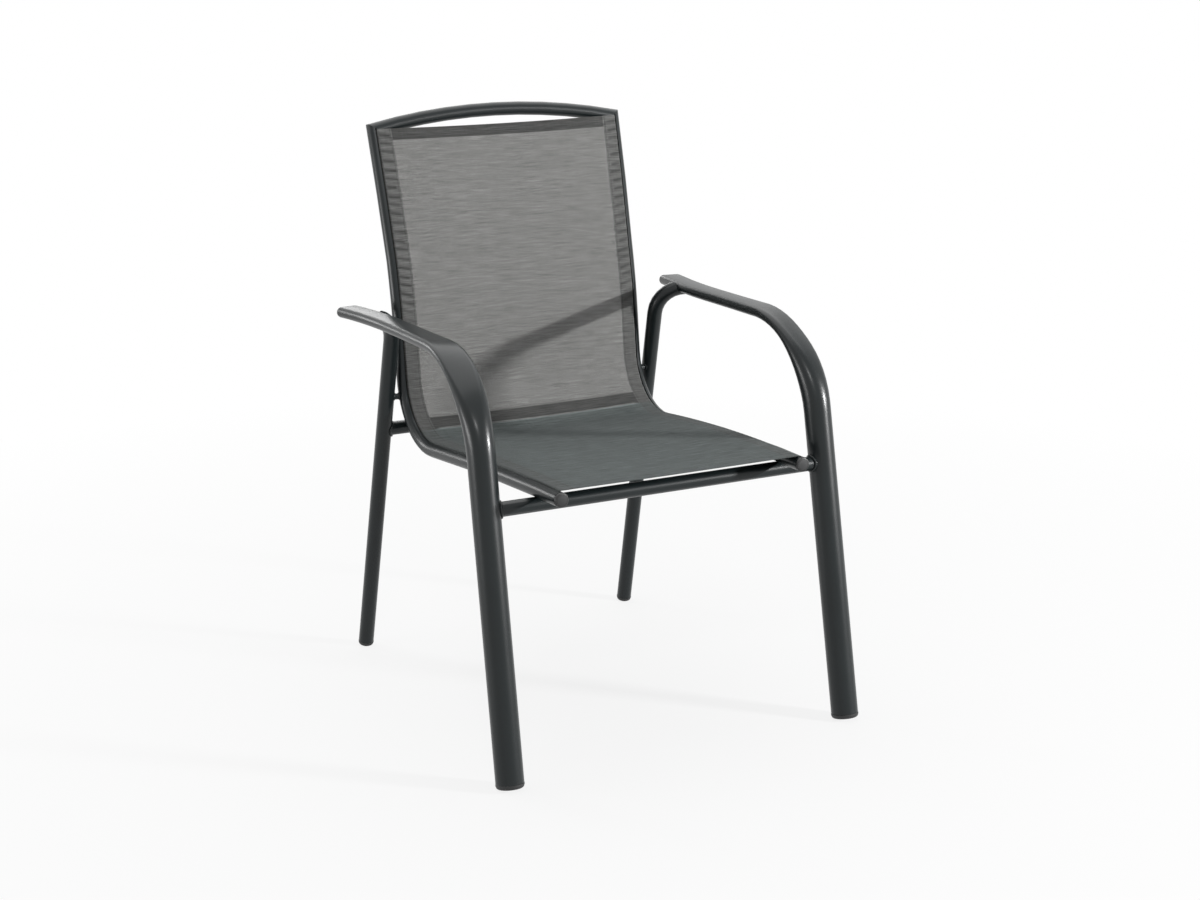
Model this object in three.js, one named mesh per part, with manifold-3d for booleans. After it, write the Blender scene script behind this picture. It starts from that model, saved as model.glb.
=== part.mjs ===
// Sling patio chair: two bent arm and leg tubes, two rear legs, two crossbars,
// two grooved sling rails with an arched top rail, and one woven seat and back.
// Millimetres, +Z up. The chair faces -Y and stands on z = 0, centred on its box.

import * as THREE from 'three';
import { mergeVertices } from 'three/addons/utils/BufferGeometryUtils.js';
import Module from 'manifold-3d';

const wasm = await Module();
wasm.setup();

const degree = Math.PI / 180;

// Width: the other widths are set out from the rails' middle spacing
const rail_middle_spacing = 419;
const rail_front_narrowing = 20;
const rail_top_widening = 10;
const leg_foot_outset = 76.5;
const leg_top_outset = 72;
const arm_outset = 66.5;
const rear_leg_outset = 29.9;

// Front leg and arm, one bent tube on each side
const leg_diameter = 41.7;
const leg_wall = 2;
const leg_lean = 11.25 * degree;
const arm_corner_height = 601;
const arm_bend_radius = 160;
const arm_drop = 1 * degree;
const arm_overhang = 77.3;
const arm_bend_width = 47.5;
const arm_bend_roll = 14 * degree;
const arm_width = 40.7;
const arm_thickness = 16.5;
const arm_flare_length = 140;
const arm_flare_radius = 850;
const arm_end_straight = 25;

// Rear legs
const rear_leg_setback = 7.1;
const rear_leg_diameter = 25;
const rear_leg_wall = 1.8;
const rear_leg_lean = 12.86 * degree;
const rear_leg_lean_in = 1 * degree;
const rear_bend_radius = 51;
const rear_bend_turn = 84 * degree;
const rear_bend_swing = 27 * degree;
const rear_weld_drop = 1;

// Sling rails
const rail_diameter = 22;
const rail_wall = 1.6;
const rail_overhang = 70.5;
const seat_slope = 1.25 * degree;
const seat_length = 424;
const seat_turn = 5.55 * degree;
const seat_bend_radius = 106;
const seat_bend_turn = 90 * degree;
const lower_back_length = 64;
const lumbar_length = 123;
const lumbar_turn = 7.3 * degree;
const upper_back_length = 210;
const upper_back_turn = 3.7 * degree;

// Groove that holds the sling, cut along each rail
const groove_angle = 4 * degree;
const groove_radius = 3.3;
const groove_depth = 5.6;
const groove_wall = 1.3;
const slot_width = 3.4;

// Top rail
const top_rail_diameter = 22;
const top_rail_wall = 1.6;
const top_rail_rise = 22.3;

// Crossbars and spacers
const crossbar_diameter = 22;
const crossbar_wall = 1.6;
const front_crossbar_height = 393.2;
const rear_crossbar_drop = 56;
const spacer_diameter = 10;
const spacer_turn_left = 16 * degree;

// Sling, one sewn sheet of mesh
const mesh_thickness = 0.8;
const hem_thickness = 1.5;
const side_hem_width = 25;
const end_hem_width = 17.5;
const sling_top_margin = 2;
const sling_front_margin = 5;
const sling_sag = 4;
const hem_sag = 1.5;
const sag_reach = 100;
const top_edge_dip = 2.5;
const dip_reach = 55;
const welt_diameter = 4.4;

// Plastic caps
const plug_head = 4;
const plug_gap = 1.2;
const plug_stem = 18;
const plug_stem_diameter = 7;
const glide_height = 7;
const glide_rim = 0.3;
const glide_rounding = 4.5;
const glide_flat = 0.6;
const glide_stem = 22;
const cap_dome = 13;
const cap_stem = 16;
const edge_rounding = 2.2;

// Fits
const gap = 0.3;

// How finely the curves are faceted
const leg_sides = 24;
const rear_leg_sides = 18;
const bar_sides = 18;
const hollow_sides = 10;
const groove_sides = 6;
const welt_sides = 6;
const arm_step = 5.4 * degree;
const bend_step = 8 * degree;
const rear_bend_step = 12 * degree;
const slow_step = 2.4 * degree;

// Colours and finishes
const frame_paint = { color: 0x4b4e51, roughness: 0.42, metalness: 0.55 };
const mesh_cloth = { color: 0x85857f, roughness: 0.85, metalness: 0 };
const black_plastic = { color: 0x1d1e20, roughness: 0.6, metalness: 0 };
const grey_plastic = { color: 0x55585b, roughness: 0.55, metalness: 0 };

const half = (size) => size / 2;
const mix = (from, to, share) => from + (to - from) * share;
const smooth = (share) => {
  const held = THREE.MathUtils.clamp(share, 0, 1);
  return held * held * (3 - 2 * held);
};

// A flat path of straight and curved runs in the YZ plane
class BentPath {
  constructor(start, runs) {
    this.start = start;
    this.runs = runs;
    this.length = runs.reduce((sum, run) => sum + run.length, 0);
  }

  at(distance) {
    let { y, z, heading } = this.start;
    let left = distance;
    for (const [index, run] of this.runs.entries()) {
      const last = index === this.runs.length - 1;
      const walked = last ? left : Math.min(left, run.length);
      const turned = run.turn * walked / run.length;
      const chord = turned === 0 ? walked : walked * Math.sin(turned / 2) / (turned / 2);
      y += chord * Math.cos(heading + turned / 2);
      z += chord * Math.sin(heading + turned / 2);
      heading += turned;
      left -= walked;
      if (left <= 0) break;
    }
    return { y, z, heading };
  }

  // Distances along the path, closer together where it turns
  stops(from, to, step) {
    const list = [];
    let begun = 0;
    for (const run of this.runs) {
      const count = Math.max(1, Math.ceil(Math.abs(run.turn) / (run.step ?? step)));
      for (let k = 0; k < count; k += 1) list.push(begun + run.length * k / count);
      begun += run.length;
    }
    const inside = list.filter((stop) => stop > from && stop < to);
    return [from, ...inside, to];
  }
}

// The rail's runs, from its front end: it overhangs the front crossbar, slopes
// back, bends up into the back and leans away again
const overhang_turn = seat_turn * rail_overhang / seat_length;
const rail_runs = [
  { length: rail_overhang, turn: -overhang_turn },
  { length: seat_length - rail_overhang, turn: overhang_turn - seat_turn, step: slow_step },
  { length: seat_bend_radius * seat_bend_turn, turn: seat_bend_turn },
  { length: lower_back_length, turn: 0 },
  { length: lumbar_length, turn: -lumbar_turn, step: slow_step },
  { length: upper_back_length, turn: -upper_back_turn, step: slow_step },
];

// The front crossbar is centred on the front legs, and the rails lie on it. The
// rear legs stand behind the rails' bends, where the spacers join them
const spacer_stop = seat_length + seat_bend_radius * (seat_bend_turn - spacer_turn_left);
const bare_path = new BentPath({ y: 0, z: 0, heading: -seat_slope }, rail_runs);
const over_bar = bare_path.at(rail_overhang);
const at_spacer = bare_path.at(spacer_stop);
const rail_rise = half(rail_diameter + crossbar_diameter) + gap;
const bar_setback = front_crossbar_height * Math.tan(leg_lean);
const rail_setback = bar_setback - rail_rise * Math.sin(over_bar.heading) - over_bar.y;
const rail_front_height = front_crossbar_height + rail_rise * Math.cos(over_bar.heading)
  - over_bar.z;
const spacer_height = rail_front_height + at_spacer.z;
const foot_depth = rail_setback + at_spacer.y + rear_leg_setback
  + spacer_height * Math.tan(rear_leg_lean);

// How far up a leaning leg's axis its glide's face lies: the rounded edge dips
// just under the floor, where it is cut flat
function glideFace(diameter, lean) {
  const inner = half(diameter) + glide_rim - glide_rounding;
  const dip = inner * Math.sin(lean) + glide_rounding - glide_flat;
  return dip / Math.cos(lean) - glide_rounding;
}

// How far a glide reaches, in Y, from the point where the leg's axis meets the floor
function glideReach(diameter, lean) {
  const height = glideFace(diameter, lean) + glide_rounding;
  return (half(diameter) + glide_rim) * Math.cos(lean) - height * Math.sin(lean);
}

// The feet set where Y = 0 lies, so that the chair's box is centred on it
const front_reach = glideReach(leg_diameter, leg_lean);
const rear_reach = glideReach(rear_leg_diameter, rear_leg_lean);
const front_foot_y = half(front_reach - rear_reach - foot_depth);
const rear_foot_y = front_foot_y + foot_depth;

const rail_path = new BentPath(
  { y: front_foot_y + rail_setback, z: rail_front_height, heading: -seat_slope },
  rail_runs,
);

// Half the distance between left and right, for the feet and the tops of the legs
const half_middle = half(rail_middle_spacing);
const front_foot_x = half_middle + leg_foot_outset;
const leg_top_x = half_middle + leg_top_outset;
const arm_x = half_middle + arm_outset;
const rear_foot_x = half_middle + rear_leg_outset + spacer_height
  * Math.tan(rear_leg_lean_in) / Math.cos(rear_leg_lean);

// A place on a path of the left side, with the two directions of its
// cross-section: across is towards the middle of the chair
function station(x, point) {
  return {
    centre: new THREE.Vector3(x, point.y, point.z),
    across: new THREE.Vector3(-1, 0, 0),
    up: new THREE.Vector3(0, -Math.sin(point.heading), Math.cos(point.heading)),
    along: new THREE.Vector3(0, Math.cos(point.heading), Math.sin(point.heading)),
  };
}

function ringAt(place, flat) {
  const points = flat.map((corner) => place.centre.clone()
    .addScaledVector(place.across, corner.x)
    .addScaledVector(place.up, corner.y));
  return { points, flat };
}

// Slides a ring's corners along a direction until they lie in a plane
function ringInPlane(ring, direction, plane) {
  const speed = plane.normal.dot(direction);
  const points = ring.points.map((point) => {
    const travel = -plane.distanceToPoint(point) / speed;
    return point.clone().addScaledVector(direction, travel);
  });
  return { points, flat: ring.flat };
}

// A round or flattened tube outline: two half circles and the flats between them
function roundedOutline(width, thickness, sides, lift = 0) {
  const flat = [];
  for (let k = 0; k < sides; k += 1) {
    const angle = (k + 0.5) * 2 * Math.PI / sides;
    const side = Math.sign(Math.cos(angle)) * half(width - thickness);
    const raised = Math.sin(angle) > 0 ? lift : 0;
    const x = side + Math.cos(angle) * half(thickness);
    flat.push(new THREE.Vector2(x, Math.sin(angle) * half(thickness) + raised));
  }
  return flat;
}

// How wide a round peg may be in a bore that is faceted with so many sides
function pegDiameter(bore, sides) {
  return bore * Math.cos(Math.PI / sides) - 2 * gap;
}

function wall(index, first, ringSize, rings, inward) {
  for (let row = 0; row + 1 < rings; row += 1) {
    for (let k = 0; k < ringSize; k += 1) {
      const a = first + row * ringSize + k;
      const b = first + row * ringSize + (k + 1) % ringSize;
      const c = a + ringSize;
      const d = b + ringSize;
      if (inward) index.push(a, c, b, b, c, d);
      else index.push(a, b, c, b, d, c);
    }
  }
}

// Closes one end of a loft, round the mouths of the bores that open there
function endFace(index, outer, holes, starts, flip) {
  const triangles = THREE.ShapeUtils.triangulateShape(outer, holes);
  const numbers = [];
  [outer, ...holes].forEach((loop, k) => {
    loop.forEach((corner, place) => numbers.push(starts[k] + place));
  });
  for (const [a, b, c] of triangles) {
    if (flip) index.push(numbers[a], numbers[c], numbers[b]);
    else index.push(numbers[a], numbers[b], numbers[c]);
  }
}

// A solid through a row of rings, with bores that open at its start, and at its
// end too where they are as long as the solid
function loft(rings, bores = []) {
  const index = [];
  const points = [];
  const add = (list) => {
    const first = points.length;
    list.forEach((ring) => points.push(...ring.points));
    return first;
  };
  const size = rings[0].points.length;
  const first = add(rings);
  wall(index, first, size, rings.length, false);
  const near = { holes: [], starts: [first] };
  const far = { holes: [], starts: [first + size * (rings.length - 1)] };
  for (const bore of bores) {
    const boreSize = bore.rings[0].points.length;
    const start = add(bore.rings);
    const last = start + boreSize * (bore.rings.length - 1);
    wall(index, start, boreSize, bore.rings.length, true);
    near.holes.push(bore.rings[0].flat);
    near.starts.push(start);
    if (bore.through) {
      far.holes.push(bore.rings.at(-1).flat);
      far.starts.push(last);
    } else {
      endFace(index, bore.rings.at(-1).flat, [], [last], true);
    }
  }
  endFace(index, rings[0].flat, near.holes, near.starts, true);
  endFace(index, rings.at(-1).flat, far.holes, far.starts, false);
  const geometry = new THREE.BufferGeometry();
  geometry.setAttribute('position', new THREE.Float32BufferAttribute(
    points.flatMap((point) => point.toArray()), 3));
  geometry.setIndex(index);
  geometry.computeVertexNormals();
  return geometry;
}

function mirrored(geometry) {
  const copy = geometry.clone();
  copy.scale(-1, 1, 1);
  const index = copy.getIndex();
  for (let k = 0; k < index.count; k += 3) {
    const held = index.getX(k);
    index.setX(k, index.getX(k + 1));
    index.setX(k + 1, held);
  }
  copy.computeVertexNormals();
  return copy;
}

function solidOf(geometry) {
  const bare = geometry.clone();
  bare.deleteAttribute('normal');
  bare.deleteAttribute('uv');
  const merged = mergeVertices(bare);
  const vertProperties = new Float32Array(merged.attributes.position.array);
  const triVerts = new Uint32Array(merged.index.array);
  return new wasm.Manifold(new wasm.Mesh({ numProp: 3, vertProperties, triVerts }));
}

function geometryOf(solid) {
  const { vertProperties, triVerts } = solid.getMesh();
  const geometry = new THREE.BufferGeometry();
  geometry.setAttribute('position', new THREE.BufferAttribute(vertProperties, 3));
  geometry.setIndex(new THREE.BufferAttribute(triVerts, 1));
  geometry.computeVertexNormals();
  return geometry;
}

function cutAway(geometry, ...cutters) {
  return geometryOf(cutters.reduce((solid, cutter) => solid.subtract(solidOf(cutter)),
    solidOf(geometry)));
}

// The rear leg's directions: up along it, and out to where its bend turns
const rear_up = new THREE.Vector3(-Math.sin(rear_leg_lean_in),
  -Math.sin(rear_leg_lean), Math.cos(rear_leg_lean)).normalize();
const rear_out = new THREE.Vector3(Math.cos(rear_bend_swing),
  -Math.sin(rear_bend_swing), 0);
rear_out.addScaledVector(rear_up, -rear_out.dot(rear_up)).normalize();
const rear_side = new THREE.Vector3().crossVectors(rear_up, rear_out);
const rear_foot = new THREE.Vector3(rear_foot_x, rear_foot_y, 0);

function rearLegAt(height) {
  return rear_foot.clone().addScaledVector(rear_up, height / rear_up.z);
}

// Where the rear leg's bend ends under the arm
const weld_y = rearLegAt(arm_corner_height).y - rear_bend_radius * Math.sin(rear_bend_swing);

// Front leg and arm: a straight leg, one wide bend and a nearly level arm
const corner_angle = Math.PI / 2 - leg_lean + arm_drop;
const corner_run = arm_bend_radius * Math.tan(corner_angle / 2);
const leg_run = arm_corner_height / Math.cos(leg_lean) - corner_run;
const arm_corner_y = front_foot_y + arm_corner_height * Math.tan(leg_lean);
const arm_length = (weld_y + arm_overhang - arm_corner_y) / Math.cos(arm_drop);
const arm_path = new BentPath(
  { y: front_foot_y, z: 0, heading: Math.PI / 2 - leg_lean },
  [
    { length: leg_run, turn: 0 },
    { length: arm_bend_radius * corner_angle, turn: -corner_angle },
    { length: arm_length - corner_run, turn: 0 },
  ],
);

// The way the leg rises, with its slight lean towards the other leg
const front_foot = new THREE.Vector3(front_foot_x, front_foot_y, 0);
const front_up = new THREE.Vector3(leg_top_x - front_foot_x,
  leg_run * Math.sin(leg_lean), leg_run * Math.cos(leg_lean)).normalize();

function armShare(distance) {
  return (distance - leg_run) / (arm_bend_radius * corner_angle);
}

function armHalfSpacing(distance) {
  const leg = mix(front_foot_x, leg_top_x, Math.min(1, distance / leg_run));
  return mix(leg, arm_x, smooth(armShare(distance)));
}

// A place on the arm tube: it rolls outwards through the bend, and the arm's
// rear part curves away from the sitter and ends in a short straight
const flare_start = arm_path.length - arm_flare_length - arm_end_straight;

function armStation(distance) {
  const place = station(armHalfSpacing(distance), arm_path.at(distance));
  const share = THREE.MathUtils.clamp(armShare(distance), 0, 1);
  const roll = arm_bend_roll * Math.sin(Math.PI * share);
  const flared = Math.max(0, distance - flare_start);
  const curved = Math.min(flared, arm_flare_length);
  const turn = curved / arm_flare_radius;
  const upright = new THREE.Vector3(0, 0, 1);
  for (const direction of [place.across, place.up, place.along]) {
    direction.applyAxisAngle(station(0, arm_path.at(distance)).along, roll);
    direction.applyAxisAngle(upright, -turn);
  }
  place.centre.x += arm_flare_radius * (1 - Math.cos(turn));
  place.centre.y += arm_flare_radius * Math.sin(turn) - flared;
  return { ...place, centre: place.centre.addScaledVector(place.along, flared - curved) };
}

// The tube is round below the bend and is pressed flat through it
const pressing_shares = { flat_from: 0.1, flat_to: 0.67, wide_at: 0.5, narrow_at: 1.35 };
const flare_ring_shares = [0, 0.25, 0.5, 0.75, 1];

function armSection(distance, growth, sides, lift) {
  const share = armShare(distance);
  const { flat_from, flat_to, wide_at, narrow_at } = pressing_shares;
  const pressed = smooth((share - flat_from) / (flat_to - flat_from));
  const widened = mix(leg_diameter, arm_bend_width, smooth(share / wide_at));
  const narrowed = smooth((share - wide_at) / (narrow_at - wide_at));
  const width = mix(widened, arm_width, narrowed);
  const thickness = mix(leg_diameter, arm_thickness, pressed);
  return roundedOutline(width + 2 * growth, thickness + 2 * growth, sides, lift);
}

const leg_start = glideFace(leg_diameter, leg_lean) + glide_height + gap;

function armRings(growth, sides, lift) {
  const stops = arm_path.stops(leg_start, arm_path.length, arm_step);
  const narrow_end = leg_run + arm_bend_radius * corner_angle * pressing_shares.narrow_at;
  const flared = flare_ring_shares.map((share) => flare_start + arm_flare_length * share);
  const held = [...stops.slice(0, -1), narrow_end, ...flared, stops.at(-1)];
  return held.map((stop) => ringAt(armStation(stop), armSection(stop, growth, sides, lift)));
}

function frontLegArm() {
  const bore = { rings: armRings(-leg_wall, leg_sides / 2, 0), through: true };
  return loft(armRings(0, leg_sides, 0), [bore]);
}

// Rear leg: straight and leaning, then bent out to the underside of the arm. The
// bend ends with the tube's lower side just under the arm
const weld_height = arm_corner_height - (weld_y - arm_corner_y) * Math.tan(arm_drop);
const rear_crown_height = weld_height - half(arm_thickness) - rear_weld_drop
  + half(rear_leg_diameter);
const rear_bend_height = rear_crown_height - rear_bend_radius * rear_up.z;

const rear_leg_start = glideFace(rear_leg_diameter, rear_leg_lean) + glide_height + gap;

function rearLegRings(diameter, sides, last_turn) {
  const flat = roundedOutline(diameter, diameter, sides);
  const place = (centre, turn) => ({
    centre,
    across: rear_out.clone().multiplyScalar(Math.cos(turn))
      .addScaledVector(rear_up, -Math.sin(turn)),
    up: rear_side.clone(),
  });
  const foot = rear_foot.clone().addScaledVector(rear_up, rear_leg_start);
  const rings = [ringAt(place(foot, 0), flat)];
  const start = rearLegAt(rear_bend_height);
  const steps = Math.ceil(last_turn / rear_bend_step);
  for (let k = 0; k <= steps; k += 1) {
    const turn = last_turn * k / steps;
    const centre = start.clone()
      .addScaledVector(rear_up, rear_bend_radius * Math.sin(turn))
      .addScaledVector(rear_out, rear_bend_radius * (1 - Math.cos(turn)));
    rings.push(ringAt(place(centre, turn), flat));
  }
  return rings;
}

function rearLeg() {
  const bore_diameter = rear_leg_diameter - 2 * rear_leg_wall;
  const bore = { rings: rearLegRings(bore_diameter, rear_leg_sides / 2, bend_step) };
  const tube = loft(rearLegRings(rear_leg_diameter, rear_leg_sides, rear_bend_turn), [bore]);
  return cutAway(tube, loft(armRings(gap, leg_sides, rear_leg_diameter)));
}

// Sling rail: an extrusion with a keyhole groove, bent from the seat into the back.
// The rails spread along the seat, run level round the bend, and spread again
function railHalfSpacing(distance) {
  const left_of_seat = 1 - Math.min(1, distance / seat_length);
  const upper_from = rail_path.length - upper_back_length;
  const upper = Math.max(0, distance - upper_from) / upper_back_length;
  return half_middle - half(rail_front_narrowing) * left_of_seat ** 2
    + half(rail_top_widening) * upper;
}

function railStation(distance) {
  return station(railHalfSpacing(distance), rail_path.at(distance));
}

function arc(radius, from, to, steps, shift) {
  const list = [];
  for (let k = 0; k <= steps; k += 1) {
    const angle = mix(from, to, k / steps);
    list.push(new THREE.Vector2(shift + radius * Math.cos(angle), radius * Math.sin(angle)));
  }
  return list;
}

// Turns an outline drawn with its groove along X so that the groove faces the
// sling's side of the rail, tilted towards the middle of the chair
function faceGroove(outline) {
  const turn = Math.PI / 2 - groove_angle;
  return outline.map((corner) => corner.rotateAround(new THREE.Vector2(), turn));
}

function railOutline() {
  const radius = half(rail_diameter);
  const slot = half(slot_width);
  const mouth = Math.asin(slot / radius);
  const lip = Math.asin(slot / groove_radius);
  const skin = arc(radius, mouth, 2 * Math.PI - mouth, bar_sides, 0);
  const channel = arc(groove_radius, -lip, lip - 2 * Math.PI, groove_sides, groove_depth);
  return faceGroove([...skin, ...channel]);
}

// The hollow beside the groove, bounded by the skin and the groove's own wall
function railHollow() {
  const inner = half(rail_diameter) - rail_wall;
  const guard = groove_radius + groove_wall;
  const meet = (inner ** 2 - guard ** 2 + groove_depth ** 2) / (2 * groove_depth);
  const skin = Math.acos(meet / inner);
  const turn = Math.acos((meet - groove_depth) / guard);
  const outer = arc(inner, skin, 2 * Math.PI - skin, hollow_sides, 0);
  const back = arc(guard, 2 * Math.PI - turn, turn, groove_sides, groove_depth).slice(1, -1);
  return faceGroove([...outer, ...back]);
}

// The plane where a rail and the top rail meet, at half their angle
const top_point = rail_path.at(rail_path.length);
const top_half = railHalfSpacing(rail_path.length);
const top_along = new THREE.Vector3(0, Math.cos(top_point.heading), Math.sin(top_point.heading));
const top_radius = (top_half ** 2 + top_rail_rise ** 2) / (2 * top_rail_rise);
const top_angle = Math.asin(top_half / top_radius);

function mitrePlane(offset) {
  const inward = new THREE.Vector3(-Math.cos(top_angle), 0, 0)
    .addScaledVector(top_along, Math.sin(top_angle));
  const normal = top_along.clone().add(inward).normalize();
  const through = new THREE.Vector3(top_half, top_point.y, top_point.z)
    .addScaledVector(normal, offset);
  return new THREE.Plane().setFromNormalAndCoplanarPoint(normal, through);
}

function railRings(flat, from, to, mitre) {
  const rings = rail_path.stops(from, to, bend_step)
    .map((stop) => ringAt(railStation(stop), flat));
  if (mitre) rings[rings.length - 1] = ringInPlane(rings.at(-1), top_along, mitre);
  return rings;
}

function sideRail() {
  const mitre = mitrePlane(-half(gap));
  const skin = railRings(railOutline(), 0, rail_path.length, mitre);
  const hollow = { rings: railRings(railHollow(), 0, rail_path.length, mitre), through: true };
  return loft(skin, [hollow]);
}

function railEnvelope(growth) {
  const diameter = rail_diameter + 2 * growth;
  return loft(railRings(roundedOutline(diameter, diameter, bar_sides), 0, rail_path.length));
}

// Top rail: an arch in the plane of the back, mitred onto both rails
function topRailRings(diameter, sides) {
  const flat = roundedOutline(diameter, diameter, sides);
  const count = Math.ceil(2 * top_angle / slow_step);
  const forward = new THREE.Vector3(0, -Math.sin(top_point.heading), Math.cos(top_point.heading));
  const rings = [];
  for (let k = 0; k <= count; k += 1) {
    const angle = mix(top_angle, -top_angle, k / count);
    const outward = new THREE.Vector3(Math.sin(angle), 0, 0)
      .addScaledVector(top_along, Math.cos(angle));
    const centre = new THREE.Vector3(0, top_point.y, top_point.z)
      .addScaledVector(top_along, top_rail_rise - top_radius)
      .addScaledVector(outward, top_radius);
    rings.push(ringAt({ centre, across: forward, up: outward }, flat));
  }
  const left_end = mitrePlane(half(gap));
  const right_end = new THREE.Plane(left_end.normal.clone().setX(-left_end.normal.x),
    left_end.constant);
  const left_along = new THREE.Vector3(Math.cos(top_angle), 0, 0)
    .addScaledVector(top_along, -Math.sin(top_angle));
  const right_along = left_along.clone().setX(-left_along.x);
  rings[0] = ringInPlane(rings[0], left_along, left_end);
  rings[count] = ringInPlane(rings[count], right_along, right_end);
  return rings;
}

function topRail() {
  const bore = top_rail_diameter - 2 * top_rail_wall;
  return loft(topRailRings(top_rail_diameter, bar_sides),
    [{ rings: topRailRings(bore, bar_sides / 2), through: true }]);
}

// A straight round bar along X, from one end to the other
function barRings(diameter, sides, reach, y, z) {
  const flat = roundedOutline(diameter, diameter, sides);
  return [-reach, reach].map((x) => ringAt({
    centre: new THREE.Vector3(x, y, z),
    across: new THREE.Vector3(0, 1, 0),
    up: new THREE.Vector3(0, 0, 1),
  }, flat));
}

function crossbar(reach, y, z, legEnvelope) {
  const bore = crossbar_diameter - 2 * crossbar_wall;
  const bar = loft(barRings(crossbar_diameter, bar_sides, reach, y, z),
    [{ rings: barRings(bore, bar_sides / 2, reach, y, z), through: true }]);
  return cutAway(bar, legEnvelope, mirrored(legEnvelope));
}

// The front crossbar lies under the rails and is welded to the front legs
function frontCrossbar() {
  const legs = loft(armRings(gap, leg_sides, 0));
  return crossbar(leg_top_x, front_foot_y + bar_setback, front_crossbar_height, legs);
}

function rearCrossbar() {
  const centre = rearLegAt(spacer_height - rear_crossbar_drop);
  const diameter = rear_leg_diameter + 2 * gap;
  const legs = loft(rearLegRings(diameter, rear_leg_sides, rear_bend_turn));
  return crossbar(centre.x, centre.y, centre.z, legs);
}

// A short round spacer from each rail to the rear leg beside it
function railSpacer() {
  const rail = railStation(spacer_stop).centre;
  const leg = rearLegAt(spacer_height);
  const along = leg.clone().sub(rail).normalize();
  const across = new THREE.Vector3(0, 0, 1).cross(along).normalize();
  const up = new THREE.Vector3().crossVectors(along, across);
  const flat = roundedOutline(spacer_diameter, spacer_diameter, bar_sides);
  const bar = loft([rail, leg].map((centre) => ringAt({ centre, across, up }, flat)));
  const leg_diameter_cut = rear_leg_diameter + 2 * gap;
  const leg_cut = loft(rearLegRings(leg_diameter_cut, rear_leg_sides, rear_bend_turn));
  return cutAway(bar, railEnvelope(gap), leg_cut);
}

// Sling: its edges sit in the grooves, wrap the inner lips and span the rails
const welt_play = half(pegDiameter(2 * groove_radius, groove_sides) - welt_diameter);
const welt_depth = groove_depth - welt_play;
const sling_from = sling_front_margin;
const sling_to = rail_path.length - sling_top_margin;
const sheet_lift = half(rail_diameter) + gap + half(hem_thickness);

// The sheet's middle line from one groove to the hem's end, beside a rail's
// centre, with x towards the middle of the chair and y out of the rail
function slingEdgeLine() {
  const groove = new THREE.Vector2(Math.sin(groove_angle), Math.cos(groove_angle));
  const inwards = new THREE.Vector2(groove.y, -groove.x)
    .multiplyScalar(half(slot_width - hem_thickness) - gap);
  const root = groove.clone().multiplyScalar(welt_depth + half(welt_diameter) + gap);
  const mouth = groove.clone().multiplyScalar(half(rail_diameter)).add(inwards);
  const lift = sheet_lift + gap;
  const turned = new THREE.Vector2(mouth.x + half(hem_thickness), lift - gap);
  const level = new THREE.Vector2(mouth.x + hem_thickness + half(slot_width), lift);
  const hem_end = new THREE.Vector2(mouth.x + side_hem_width, lift);
  return [root.add(inwards), mouth, turned, level, hem_end];
}

const span_shares = [0.03, 0.25, 0.5, 0.75, 0.97];

// One row of the sheet: positions across it, with the thickness at each
function slingRow(distance) {
  const place = railStation(distance);
  const spacing = railHalfSpacing(distance);
  const edge = slingEdgeLine();
  const side = edge.map((point) => ({
    x: spacing - point.x,
    lift: point.y,
    thickness: hem_thickness,
  }));
  const inner = side.at(-1);
  const from_end = Math.min(distance - sling_from, sling_to - distance);
  const depth = mix(hem_sag, sling_sag, smooth(from_end / sag_reach));
  const span = span_shares.map((share) => {
    const x = mix(inner.x, -inner.x, share);
    const sag = depth * (1 - (x / inner.x) ** 2);
    return { x, lift: inner.lift - sag, thickness: mesh_thickness };
  });
  const far = side.map((point) => ({ ...point, x: -point.x })).reverse();
  return { place, columns: [...side, ...span, ...far] };
}

// The top edge is drawn down a little between its corners
function slingStops() {
  const inner_to = sling_to - end_hem_width;
  const inner_from = sling_from + end_hem_width;
  const middle = rail_path.stops(inner_from, inner_to, bend_step);
  const step = mesh_thickness;
  return [
    { at: sling_from, hem: true },
    { at: inner_from - step, hem: true },
    ...middle.map((at) => ({ at, hem: false })),
    { at: inner_to + step, hem: true },
    { at: sling_to, hem: true },
  ];
}

function slingSheet() {
  const stops = slingStops();
  const columns = slingRow(0).columns.length;
  const points = [];
  for (const face of [1, -1]) {
    for (const stop of stops) {
      const near_top = smooth((stop.at - sling_to + dip_reach) / dip_reach);
      const row = slingRow(stop.at);
      row.columns.forEach((column, k) => {
        const before = row.columns[Math.max(0, k - 1)];
        const after = row.columns[Math.min(columns - 1, k + 1)];
        const run = new THREE.Vector2(after.x - before.x, after.lift - before.lift).normalize();
        const thickness = stop.hem ? hem_thickness : column.thickness;
        const inside = 1 - (column.x / row.columns[0].x) ** 2;
        const dip = -top_edge_dip * near_top * Math.max(0, inside);
        const shift = face * half(thickness);
        const x = column.x + run.y * shift;
        const lift = column.lift - run.x * shift;
        points.push(row.place.centre.clone().setX(x)
          .addScaledVector(row.place.up, lift)
          .addScaledVector(row.place.along, dip));
      });
    }
  }
  return sheetGeometry(points, columns, stops.length);
}

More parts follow.
